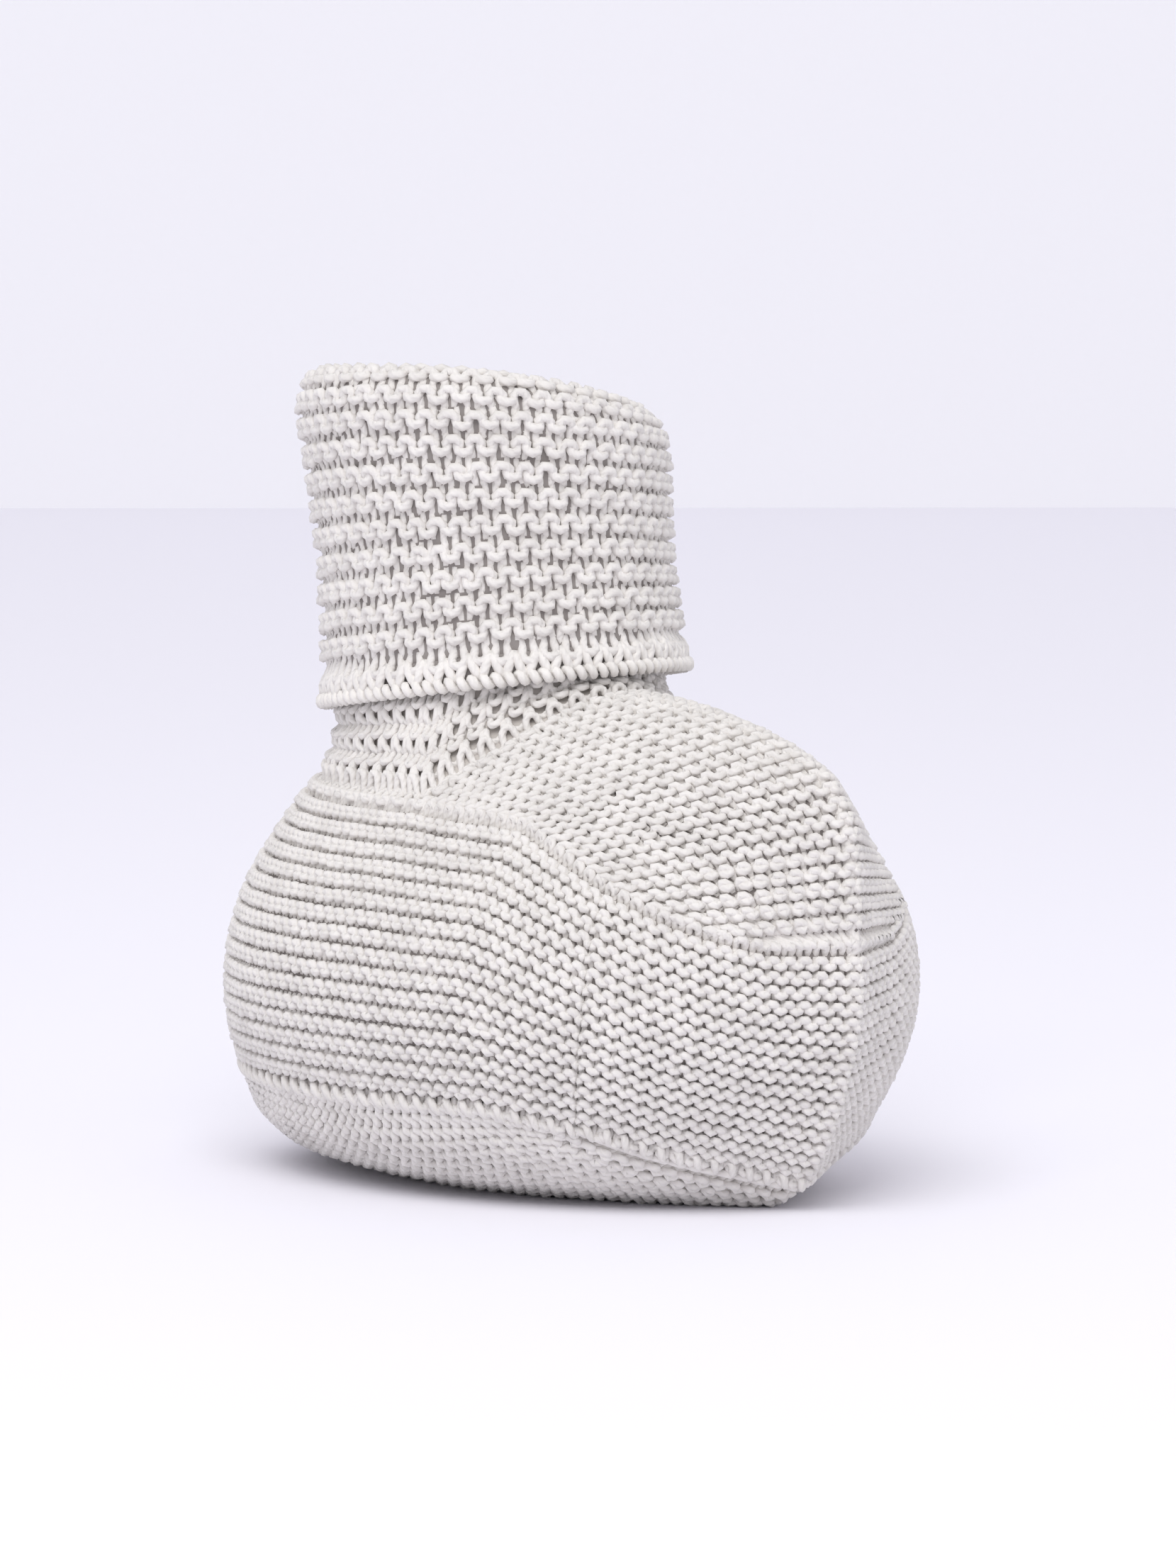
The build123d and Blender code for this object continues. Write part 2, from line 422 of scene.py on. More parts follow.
class Piece:
    """One mesh in the making: tubes of yarn and thin sheets, gathered as arrays."""

    def __init__(self) -> None:
        self.points: List[Grid] = []
        self.corners: List[Grid] = []
        self.sizes: List[Grid] = []
        self.uvs: List[Grid] = []
        self.slots: List[Grid] = []
        self.total = 0

    def _add(self, points: Grid, faces: Grid, uvs: Grid, slot: int) -> None:
        """Add points and faces of one size.

        Args:
            points: any number of them.
            faces: places in points, in rows of one face.
            uvs: one pair for each corner.
            slot: of the material.
        """
        self.points.append(points.reshape(-1, 3))
        self.corners.append(faces.reshape(-1) + self.total)
        count, size = faces.reshape(-1, faces.shape[-1]).shape
        self.sizes.append(np.full(count, size))
        self.slots.append(np.full(count, slot))
        self.uvs.append(uvs.reshape(-1, 2))
        self.total += len(self.points[-1])

    def add_strand(self, path: Grid, outward: Grid, radius: float, closed: bool = False) -> None:
        """Lay a strand of yarn: a round tube about a path, closed at its ends.

        Each ring of points is the path's point plus the radius times a cosine along the side direction and a
        sine along the outward one, both square to the path. The tube's UVs hold the length along the yarn and
        the share of the way round it.

        Args:
            path: points and 3.
            outward: the fabric's normal at each point.
            radius: of the yarn.
            closed: the strand's end joins its start.
        """
        if closed:
            tangent = np.roll(path, -1, axis=0) - np.roll(path, 1, axis=0)
        else:
            tangent = np.gradient(path, axis=0)
        tangent /= np.maximum(np.linalg.norm(tangent, axis=1, keepdims=True), TINY)
        side = np.cross(tangent, outward)
        side /= np.maximum(np.linalg.norm(side, axis=1, keepdims=True), TINY)
        up = np.cross(side, tangent)
        turn = TURN * np.arange(SIDES) / SIDES
        ring = np.cos(turn)[:, None] * side[:, None] + np.sin(turn)[:, None] * up[:, None]
        points = path[:, None] + radius * ring
        index = np.arange(len(path) * SIDES).reshape(len(path), SIDES)
        ahead = np.roll(index, -1, axis=0) if closed else index[1:]
        here = index if closed else index[:-1]
        faces = np.stack([here, ahead, np.roll(ahead, -1, axis=1), np.roll(here, -1, axis=1)], axis=-1)
        step = np.linalg.norm(np.diff(path, axis=0), axis=1)
        length = np.concatenate([[0.0], np.cumsum(step)])
        if closed:
            length = np.concatenate([length, length[-1:] + step[:1]])
        length = np.broadcast_to(length[:, None], (len(length), SIDES)) / TWIST_LENGTH
        start, stop = length[:-1], length[1:]
        left = np.broadcast_to(np.arange(SIDES) / SIDES, start.shape)
        right = left + 1 / SIDES
        corners = ((start, left), (stop, left), (stop, right), (start, right))
        uvs = np.stack([np.stack(corner, axis=-1) for corner in corners], axis=-2)
        offset = self.total
        self._add(points, faces, uvs, YARN_SLOT)
        if not closed:
            ends = np.stack([index[0], index[-1, ::-1]]) + offset
            self.corners.append(ends.reshape(-1))
            self.sizes.append(np.full(len(ends), SIDES))
            self.slots.append(np.full(len(ends), YARN_SLOT))
            self.uvs.append(np.zeros((ends.size, 2)))

    def add_lining(self, skin: Skin, gauge: Gauge, outer: float, inner: float) -> None:
        """Add the thin sheet in the middle of the fabric that the loops close up against: it hides the view
        through the gaps, and its dark finish is painted shade.

        Args:
            skin: the fabric's outer face.
            gauge: how the fabric is knitted.
            outer: height of the sheet's outer side above the fabric's middle.
            inner: height of its inner side above the same.
        """
        rows, columns = skin.points.shape[:2]
        v, u = np.meshgrid(
            np.linspace(0, 1, max(rows // LINING_STEP, 2)),
            np.linspace(0, 1, columns // LINING_STEP, endpoint=not skin.closed),
            indexing="ij",
        )
        front, _ = skin.at(u, v, np.full(u.shape, outer - gauge.skin))
        back, _ = skin.at(u, v, np.full(u.shape, inner - gauge.skin))
        count_v, count_u = u.shape
        index = np.arange(count_v * count_u).reshape(count_v, count_u)
        under = index + index.size
        if skin.closed:
            index = np.concatenate([index, index[:, :1]], axis=1)
            under = np.concatenate([under, under[:, :1]], axis=1)

        def quads(a: Grid, b: Grid) -> Grid:
            """The faces between two lines of points."""
            return np.stack([a[..., :-1], b[..., :-1], b[..., 1:], a[..., 1:]], axis=-1).reshape(-1, 4)

        faces = [quads(index[:-1], index[1:]), quads(under[1:], under[:-1])]
        faces += [quads(under[0], index[0]), quads(index[-1], under[-1])]
        if not skin.closed:
            faces += [quads(index[:, 0], under[:, 0]), quads(under[:, -1], index[:, -1])]
        quad = np.concatenate(faces)
        self._add(np.stack([front, back]), quad, np.zeros((len(quad) * 4, 2)), LINING_SLOT)

    def finish(self, name: str, materials: Sequence[bpy.types.Material]) -> bpy.types.Object:
        """Turn the arrays into an object at the origin.

        Args:
            name: of the piece.
            materials: one for each material slot.

        Returns:
            The object, linked into the scene.
        """
        points = np.concatenate(self.points) * MM
        corners = np.concatenate(self.corners).astype(np.int32)
        sizes = np.concatenate(self.sizes)
        mesh = bpy.data.meshes.new(name)
        mesh.vertices.add(len(points))
        mesh.vertices.foreach_set("co", points.astype(np.float32).ravel())
        mesh.loops.add(len(corners))
        mesh.loops.foreach_set("vertex_index", corners)
        mesh.polygons.add(len(sizes))
        starts = np.concatenate([[0], np.cumsum(sizes)[:-1]]).astype(np.int32)
        mesh.polygons.foreach_set("loop_start", starts)
        mesh.polygons.foreach_set("material_index", np.concatenate(self.slots).astype(np.int32))
        mesh.polygons.foreach_set("use_smooth", np.ones(len(sizes), bool))
        uv = mesh.uv_layers.new(name="strand")
        uv.data.foreach_set("uv", np.concatenate(self.uvs).astype(np.float32).ravel())
        mesh.update(calc_edges=True)
        mesh.validate()
        for material in materials:
            mesh.materials.append(material)
        piece = bpy.data.objects.new(name, mesh)
        bpy.context.scene.collection.objects.link(piece)
        LOG.info("%s: %d triangles", name, int((sizes - 2).sum()))
        return piece


@dataclass
class Knit:
    """Rows of loops laid on a skin.

    Attributes:
        skin: the fabric's outer face.
        gauge: how it is knitted.
        rows: the kind of each row, from the top down.
        stitches: in each row.
        seed: of the unevenness.
        paths: the centre line of each row, and the fabric's normal along it.
    """

    skin: Skin
    gauge: Gauge
    rows: Sequence[Row]
    stitches: Sequence[int]
    seed: int
    paths: List[Tuple[Grid, Grid]] = field(init=False)

    def __post_init__(self) -> None:
        """Lay the centre lines: the loop's formula at each row's place, with small seeded differences."""
        rng = np.random.default_rng(self.seed)
        self.paths = [self._row(i, rng) for i in range(len(self.rows))]

    def _row(self, number: int, rng: np.random.Generator) -> Tuple[Grid, Grid]:
        """Lay one row: each stitch is shifted a little along, up and out, fading into the next.

        Args:
            number: of the row, from the top.
            rng: draws the shifts.

        Returns:
            The centre line and the fabric's normal along it.
        """
        count = self.stitches[number]
        samples = np.arange(count * SEGMENTS + (0 if self.skin.closed else 1))
        along, up, height = self.gauge.loop(TURN * samples / SEGMENTS, KIND_SIGN[self.rows[number]])
        loose = rng.normal(0, self.gauge.unevenness, (3, count + 1))
        loose[:, -1] = loose[:, 0]
        left = np.clip(samples // SEGMENTS, 0, count - 1)
        share = samples / SEGMENTS - left
        share = share * share * (3 - 2 * share)
        wander = loose[:, left] * (1 - share) + loose[:, left + 1] * share
        u = (along + wander[0]) / count
        v = (number + 0.5 - up + wander[1]) / len(self.rows)
        rise = height + wander[2] * self.gauge.yarn - self.gauge.skin
        return self.skin.at(u, v, rise)

    def lay(self, piece: Piece, rows: slice = slice(None), start: int = 0, stop: int | None = None) -> None:
        """Add strands to a piece.

        Args:
            piece: the mesh in the making.
            rows: which rows.
            start: first stitch.
            stop: stitch to end before, or None for whole rows.
        """
        radius = self.gauge.yarn / 2
        for path, outward in self.paths[rows]:
            if stop is None:
                piece.add_strand(path, outward, radius, self.skin.closed)
            else:
                places = np.arange(start * SEGMENTS, stop * SEGMENTS + 1) % len(path)
                piece.add_strand(path[places], outward[places], radius)


@dataclass(frozen=True)
class Seam:
    """How a seam is sewn over: a helix of yarn about the seam's line, flattened to the seam's width.

    Attributes:
        pitch: length of one stitch.
        width: from side to side of the seam.
        sunk: how far the middle of the helix is under the surface.
        depth: of the helix, square to the surface.
        radius: of the yarn.
    """

    pitch: float
    width: float
    sunk: float
    depth: float
    radius: float

    def whip(self, skin: Skin, u: Grid, v: Grid) -> Tuple[Grid, Grid, float]:
        """Lay the yarn over a line.

        It runs along the line evenly while its place across is a sine and its height a cosine of the same
        angle, so that it shows as short slanting stitches.

        Args:
            skin: the surface with the seam.
            u: places of the seam's line along the rows.
            v: places of it down the columns.

        Returns:
            The centre line, the surface's normal along it, and the yarn's radius.
        """
        line, normal = skin.at(u, v, np.full(u.shape, -self.sunk))
        length = np.concatenate([[0], np.cumsum(np.linalg.norm(np.diff(line, axis=0), axis=1))])
        count = max(int(length[-1] / self.pitch), 2) * SEAM_SEGMENTS
        even = np.linspace(0, length[-1], count)
        spine = np.stack([np.interp(even, length, line[:, i]) for i in range(3)], axis=1)
        outward = np.stack([np.interp(even, length, normal[:, i]) for i in range(3)], axis=1)
        tangent = np.gradient(spine, axis=0)
        tangent /= np.linalg.norm(tangent, axis=1, keepdims=True)
        across = np.cross(tangent, outward)
        turn = (TURN * even / self.pitch)[:, None]
        path = spine + across * np.sin(turn) * self.width / 2 + outward * np.cos(turn) * self.depth / 2
        return path, outward, self.radius


# ---------------------------------------------------------------- the bootie's own surfaces


@dataclass
class FootForm:
    """The foot's outer face: outlines at set heights, each of two superellipses that meet where it is widest.

    In front the outline carries a low keel, a crease that runs up the toe.

    Attributes:
        outlines: height, back, front, widest at, half width and exponent in front.
        heel_roundness: exponent behind the widest point.
        keel_width: distance from the middle at which the keel dies out.
        keel: height, how far the keel stands out, and how far the outline in front is moved back for it.
        flap_line: in side view, the flap's lower edge.
        sole_line: in side view, the sole's edge.
        flap_heights: heights between which the flap's edge runs.
        sole_heights: heights between which the sole's edge runs.
        columns: points round the foot in the grids.
        levels: heights in the grids.
    """

    outlines: Tuple[Tuple[float, ...], ...] = (
        (0.0, -33.5, 31.5, -3.5, 16.0, 1.6),
        (1.8, -39.0, 35.2, -3.5, 22.0, 1.7),
        (5.0, -42.2, 38.5, -4.5, 27.0, 1.8),
        (10.0, -43.8, 41.5, -5.5, 30.0, 1.9),
        (22.0, -44.0, 45.5, -7.5, 33.0, 2.0),
        (32.0, -42.2, 45.0, -6.5, 30.4, 1.9),
        (38.5, -38.9, 44.0, -6.5, 26.0, 1.65),
        (44.0, -34.4, 42.0, -5.5, 21.6, 1.4),
        (48.0, -26.5, 37.5, -4.0, 16.1, 1.35),
        (51.3, -18.0, 27.5, -1.5, 10.5, 1.4),
        (53.2, -12.0, 17.0, 0.0, 6.0, 1.6),
        (54.0, -6.5, 9.0, 1.0, 2.8, 2.0),
    )
    heel_roundness: float = 2.15
    keel_width: float = 10.0
    keel: Tuple[Tuple[float, ...], ...] = (
        (0.0, 3.4, 4.4), (5.0, 3.2, 4.2), (15.0, 2.8, 4.0), (25.0, 2.8, 3.9), (35.0, 2.7, 3.2),
        (42.0, 1.8, 1.6), (49.0, 0.0, 0.0),
    )
    flap_line: Tuple[Tuple[float, float], ...] = (
        (-1.5, 42.5), (12.5, 41.5), (22.0, 37.2), (33.0, 32.3), (40.0, 29.3), (80.0, 28.0),
    )
    sole_line: Tuple[Tuple[float, float], ...] = ((14.0, 11.0), (25.0, 8.8), (32.0, 4.9), (36.0, 2.4))
    flap_heights: Tuple[float, float] = (22.0, 48.0)
    sole_heights: Tuple[float, float] = (0.0, 16.0)
    columns: int = 720
    levels: int = 217
    body: Skin = field(init=False)

    def __post_init__(self) -> None:
        """Work out the grid: each height's outline, cut into equal lengths from the middle of the heel."""
        turn = math.pi + np.linspace(0, TURN, 2 * self.columns + 1)[:, None]
        height = np.linspace(0, self.top, self.levels)[None]
        back, front, widest, half, power, keel = self.shape(height)
        c, s = np.cos(turn), np.sin(turn)
        power = np.where(c > 0, power, self.heel_roundness)
        reach = np.where(c > 0, front - widest, widest - back)
        y = half * np.sign(s) * np.abs(s) ** (2 / power)
        x = widest + reach * np.sign(c) * np.abs(c) ** (2 / power)
        x = x + np.where(c > 0, self.crease(keel, y), 0)
        grid = np.stack([x, y, np.broadcast_to(height, x.shape)], axis=-1)
        self.body = Skin(np.swapaxes(even_out(grid, self.columns + 1)[:-1], 0, 1))

    @property
    def top(self) -> float:
        """Height of the highest outline."""
        return self.outlines[-1][0]

    def shape(self, z: Grid) -> Tuple[Grid, ...]:
        """The outline's numbers at heights.

        Args:
            z: the heights.

        Returns:
            Back, front, widest at, half width, exponent and keel.
        """
        table = np.array(self.outlines)
        back, front, widest, half, power = np.moveaxis(follow(table[:, 0], table[:, 1:], z), -1, 0)
        height, rise, moved = np.array(self.keel).T
        return back, front - np.interp(z, height, moved), widest, half, power, np.interp(z, height, rise)

    def crease(self, rise: Grid, y: Grid) -> Grid:
        """How far the keel stands out at a distance from the middle: its rise times a falling square."""
        return rise * np.maximum(1 - np.abs(y) / self.keel_width, 0) ** 2

    def outside(self, points: Grid) -> Grid:
        """Tell inside from outside: the superellipse's sum of powers less one.

        Args:
            points: anywhere.

        Returns:
            Numbers below 0 inside the foot and above 0 outside it.
        """
        x, y, z = np.moveaxis(points, -1, 0)
        back, front, widest, half, power, keel = self.shape(z)
        ahead = x > widest
        x = np.where(ahead, np.maximum(x - self.crease(keel, y), widest), x)
        ratio = np.where(ahead, (x - widest) / (front - widest), (widest - x) / (widest - back))
        power = np.where(ahead, power, self.heel_roundness)
        over = STEEP * (np.maximum(z - self.top, 0) + np.maximum(-z, 0))
        return ratio**power + (np.abs(y) / half) ** power - 1 + over

    def read(self, u: Grid, z: Grid) -> Grid:
        """The surface at a share of the way round from the heel, and a height."""
        return self.body.at(u, z / self.top, np.zeros(np.broadcast(u, z).shape))[0]

    def edge_height(self, line: Sequence[Tuple[float, float]], points: Grid) -> Grid:
        """How far points stand above a panel's edge, drawn in side view."""
        return points[..., 2] - np.interp(points[..., 0], *np.array(line).T)

    def wall(self, rows: int = 121) -> Skin:
        """The side wall, from the flap's line and the ankle down to the sole's line.

        Args:
            rows: of the grid.

        Returns:
            The wall's surface.
        """
        u = np.arange(self.columns) / self.columns

        def edge(line: Sequence[Tuple[float, float]], heights: Tuple[float, float]) -> Grid:
            """Where the surface crosses a line drawn in side view, between two heights."""
            lowest, highest = (np.full(u.shape, height) for height in heights)
            return halve(lambda z: self.edge_height(line, self.read(u, z)), lowest, highest)

        high, low = edge(self.flap_line, self.flap_heights), edge(self.sole_line, self.sole_heights)
        z = high + (low - high) * np.linspace(0, 1, rows)[:, None]
        return Skin(even_out(self.read(u, z), rows))

    def hit(self, pivot: Tuple[float, float], slant: Grid, swing: Grid) -> Grid:
        """Where a ray from inside the foot meets its surface.

        Args:
            pivot: where rays start in the middle plane, as X and Z.
            slant: the ray's angle in side view.
            swing: its angle out of the middle plane.

        Returns:
            The points.
        """
        slant, swing = np.broadcast_arrays(slant, swing)
        level = np.cos(swing)
        ray = np.stack([np.cos(slant) * level, np.sin(swing), np.sin(slant) * level], axis=-1)
        origin = np.array([pivot[0], 0.0, pivot[1]])
        inside, beyond = np.zeros(swing.shape), np.full(swing.shape, FAR)
        length = halve(lambda r: self.outside(origin + ray * r[..., None]), inside, beyond)
        return origin + ray * length[..., None]

    def fan(
        self, pivot: Tuple[float, float], span: Tuple[float, float], swing: float,
        inside: Callable[[Grid], Grid], rows: int = 121, columns: int = 241,
    ) -> Skin:
        """A panel whose rows run across the foot, fanned about a pivot like the ribs of a shell.

        The rows are equally far apart along one line down the panel, and each reaches its edge on both sides.

        Args:
            pivot: where the rows' planes meet, as X and Z.
            span: slants of the first and the last row in side view, in degrees.
            swing: angle from the middle plane, in radians, of the line on which rows are equally far apart.
            inside: above 0 for points of the panel.
            rows: rows of the grid.
            columns: columns of the grid.

        Returns:
            The panel's surface.
        """
        slants = np.radians(np.linspace(*span, 721))
        middle = self.hit(pivot, slants, 0 * slants + swing)
        length = np.concatenate([[0], np.cumsum(np.linalg.norm(np.diff(middle, axis=0), axis=1))])
        slant = np.interp(np.linspace(0, length[-1], rows), length, slants)
        middle, side = np.zeros(rows), np.full(rows, SIDEWAYS)
        widest = halve(lambda angle: -inside(self.hit(pivot, slant, angle)), middle, side)
        grid = self.hit(pivot, slant[:, None], widest[:, None] * np.linspace(-1, 1, columns)[None])
        return Skin(np.swapaxes(even_out(np.swapaxes(grid, 0, 1), columns), 0, 1), closed=False)


@dataclass
class LegForm:
    """The leg's axis and the round surfaces about it.

    Attributes:
        centre: X of the axis at the ankle.
        ankle: height of the ankle.
        lean: how far the leg leans back, in degrees.
        columns: points round the leg in the grids.
        rim_slope: how the mouth's edge rises towards the toe and towards the wearer's left.
        slouch: how far one side of the mouth's edge sags.
        slouch_turn: direction in which it sags, in degrees from the toe.
    """

    centre: float = -15.2
    ankle: float = 50.0
    lean: float = 6.0
    columns: int = 480
    rim_slope: Tuple[float, float] = (-0.05, -0.10)
    slouch: float = 3.2
    slouch_turn: float = 66.0

    def round_about(self, along: Grid, radius: Grid, turn: Grid | None = None) -> Grid:
        """Points about the axis, from the middle of the back by way of the wearer's right.

        Args:
            along: distance up the axis from the ankle, rows and columns.
            radius: distance from the axis, rows and columns.
            turn: angle of each column about the axis, or None for an even spread from the back.

        Returns:
            Points: the radius times a cosine ahead and a sine sideways, leaned back with the axis.
        """
        if turn is None:
            turn = self.turns
        tilt = math.radians(self.lean)
        ahead, side = radius * np.cos(turn), radius * np.sin(turn)
        along = np.broadcast_to(along, ahead.shape)
        x = self.centre + ahead * math.cos(tilt) - along * math.sin(tilt)
        z = self.ankle + ahead * math.sin(tilt) + along * math.cos(tilt)
        return np.stack([x, side, z], axis=-1)

    @property
    def turns(self) -> Grid:
        """Angle of each column about the axis, from the middle of the back."""
        return math.pi + TURN * np.arange(self.columns) / self.columns

    def lean_in(self) -> Grid:
        """How strongly each column slouches: one at the slouch's own direction, nothing opposite."""
        return (0.5 + 0.5 * np.cos(self.turns - math.radians(self.slouch_turn))) ** 2

    def mouth(self, radius: Grid) -> Grid:
        """How far the mouth's edge rises or drops about its middle, at a distance from the axis."""
        slope = self.rim_slope[0] * np.cos(self.turns) + self.rim_slope[1] * np.sin(self.turns)
        return radius * slope - self.slouch * self.lean_in()


# ---------------------------------------------------------------- the bootie's parts


@dataclass(frozen=True)
class Wardrobe:
    """The finishes of the bootie, built once."""

    yarn: bpy.types.Material
    # the linings' finish: the yarn darkened, painted shade in the gaps between loops
    painted_gap_shade: bpy.types.Material
    # the band's lining: the yarn darkened less, painted shade seen through the eyelets
    painted_eyelet_shade: bpy.types.Material
    joining: bpy.types.Material
    edge: bpy.types.Material

    @property
    def fabric(self) -> Tuple[bpy.types.Material, bpy.types.Material]:
        """The finishes of a knitted panel: its yarn's, and its lining's, which is painted shade."""
        return self.yarn, self.painted_gap_shade


def dress(
    piece: Piece, name: str, body: str, nodes: Sequence[str],
    materials: Sequence[bpy.types.Material],
) -> bpy.types.Object:
    """Finish a piece, let it ride on its body and stand for its nodes.

    Args:
        piece: the gathered mesh.
        name: of the object.
        body: it rides on, or nothing.
        nodes: it replaces.
        materials: of its slots.

    Returns:
        The object.
    """
    made = piece.finish(name, materials)
    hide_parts(*nodes)
    if body:
        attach(made, body)
    return made


def knitted(
    knit: Knit, name: str, body: str, node: str, finishes: Sequence[bpy.types.Material],
    lining: Sequence[float] = (0.1, -0.25), slot: str = "garter_knit", **part: Any,
) -> bpy.types.Object:
    """Make a piece of a panel's rows.

    Args:
        knit: the panel's rows.
        name: of the piece.
        body: it rides on, or nothing.
        node: it replaces.
        finishes: of the yarn and of the lining, the latter a painted shade.
        lining: heights of the lining's two sides, or nothing for none.
        slot: not used.
        part: rows or stitches, for Knit.lay.

    Returns:
        The object.
    """
    piece = Piece()
    knit.lay(piece, **part)
    if lining:
        piece.add_lining(knit.skin, knit.gauge, *lining)
    return dress(piece, name, body, [node], finishes)


def sew(
    seam: Seam, skin: Skin, u: Grid, v: Grid, name: str, body: str, node: str, finish: bpy.types.Material
) -> None:
    """Make a seam as a piece of its own.

    Args:
        seam: how it is sewn.
        skin: the surface with the seam.
        u: places of its line along the rows.
        v: places of it down the columns.
        name: of the piece.
        body: it rides on.
        node: it replaces.
        finish: of its yarn.
    """
    piece = Piece()
    piece.add_strand(*seam.whip(skin, u, v))
    dress(piece, name, body, [node], [finish])


@dataclass
class Foot:
    """The foot: a side wall in one strip, a flap over the instep and a sole."""

    form: FootForm
    gauge: Gauge = Gauge(yarn=0.95, depth=0.6, reach=0.95, waist=0.14)
    wall_ridges: int = 17
    wall_stitches: int = 136
    stitch: float = 1.85  # width of a stitch in the flap and the sole
    row: float = 1.1  # height of a row there
    flap_pivot: Tuple[float, float] = (-13.0, 26.7)  # where the planes of its rows meet, as X and Z
    flap_span: Tuple[float, float] = (54.0, 3.4)  # slants of its first and last row, in degrees
    flap_swing: float = 0.35  # angle from the middle of the line on which its rows are even
    sole_pivot: Tuple[float, float] = (-4.0, 25.0)
    sole_span: Tuple[float, float] = (-31.0, -158.5)
    heel_seam: Seam = Seam(pitch=2.2, width=1.5, sunk=0.35, depth=0.8, radius=0.4)
    sole_join: Seam = Seam(pitch=2.0, width=1.5, sunk=0.5, depth=0.8, radius=0.45)
    flap_join: Seam = Seam(pitch=2.2, width=0.8, sunk=1.45, depth=0.6, radius=0.34)

    def build(self, wardrobe: Wardrobe) -> None:
        """Build and dress every panel and the yarn between them.

        Args:
            wardrobe: the finishes.
        """
        self.build_wall(wardrobe)
        self.build_flap(wardrobe)
        self.build_sole(wardrobe)

    def build_wall(self, wardrobe: Wardrobe) -> None:
        """Knit the wall, in four lengths round the foot.

        Args:
            wardrobe: the finishes.
        """
        self.wall = self.form.wall()
        rows = 2 * self.wall_ridges
        knit = Knit(self.wall, self.gauge, garter(rows), [self.wall_stitches] * rows, seed=3)
        quarter = self.wall_stitches / 4
        lengths = (("heel", -0.5), ("right_side", 0.5), ("toe", 1.5), ("left_side", 2.5))
        for name, begin in lengths:
            start, stop = round(begin * quarter), round((begin + 1) * quarter)
            lining = (0.1, -0.25) if name == "heel" else ()
            knitted(
                knit, f"wall_{name}", "foot", "side_wall", wardrobe.fabric, lining, start=start, stop=stop
            )
        v = np.linspace(0.03, 0.97, 60)
        sew(self.heel_seam, self.wall, 0 * v, v, "heel_seam", "foot", "heel_seam_yarn", wardrobe.joining)
        u = np.linspace(0, 1, 721)
        hem = np.ones(u.shape)
        sew(self.sole_join, self.wall, u, hem, "sole_join", "foot", "sole_join_yarn", wardrobe.joining)

    def panel_rows(self, skin: Skin, count: int) -> List[int]:
        """Count the stitches in each row of a panel that narrows.

        Args:
            skin: the panel.
            count: of rows.

        Returns:
            Even numbers that fit the rows' lengths.
        """
        rows = ((np.arange(count) + 0.5) / count * (len(skin.points) - 1)).astype(int)
        length = np.linalg.norm(np.diff(skin.points[rows], axis=1), axis=2).sum(axis=1)
        return [max(2 * round(float(one) / (2 * self.stitch)), 4) for one in length]

    def row_count(self, skin: Skin) -> int:
        """Count the rows of a panel.

        Args:
            skin: the panel.

        Returns:
            An even number that fits the length of its middle.
        """
        middle = skin.points[:, skin.points.shape[1] // 2]
        return 2 * round(float(np.linalg.norm(np.diff(middle, axis=0), axis=1).sum()) / (2 * self.row))

    def build_flap(self, wardrobe: Wardrobe) -> None:
        """Knit the flap from the ankle to the toe, and join its sides to the wall.

        Args:
            wardrobe: the finishes.
        """
        self.flap = self.form.fan(
            self.flap_pivot, self.flap_span, self.flap_swing,
            lambda points: self.form.edge_height(self.form.flap_line, points),
        )
        rows = self.row_count(self.flap)
        knit = Knit(self.flap, self.gauge, garter(rows), self.panel_rows(self.flap, rows), seed=5)
        knitted(knit, "instep_flap_knit", "foot", "instep_flap", wardrobe.fabric)
        v = np.linspace(0.02, 1, 200)
        for side, u in (("right", 0.0), ("left", 1.0)):
            name, node = f"flap_join_{side}", f"flap_join_yarn_{side}"
            sew(self.flap_join, self.flap, u + 0 * v, v, name, "foot", node, wardrobe.joining)

    def build_sole(self, wardrobe: Wardrobe) -> None:
        """Knit the sole from the toe to the heel in three lengths, its rows running across the foot.

        Args:
            wardrobe: the finishes.
        """
        sole = self.form.fan(
            self.sole_pivot, self.sole_span, 0.0,
            lambda points: -self.form.edge_height(self.form.sole_line, points),
        )
        rows = self.row_count(sole)
        knit = Knit(sole, self.gauge, garter(rows), self.panel_rows(sole, rows), seed=7)
        parts = ("sole_toe", "sole_middle", "sole_heel")
        for i, name in enumerate(parts):
            some = slice(rows * i // len(parts), rows * (i + 1) // len(parts))
            lining = (0.1, -0.25) if name == "sole_middle" else ()
            knitted(knit, name, "foot", "sole_panel", wardrobe.fabric, lining, rows=some)


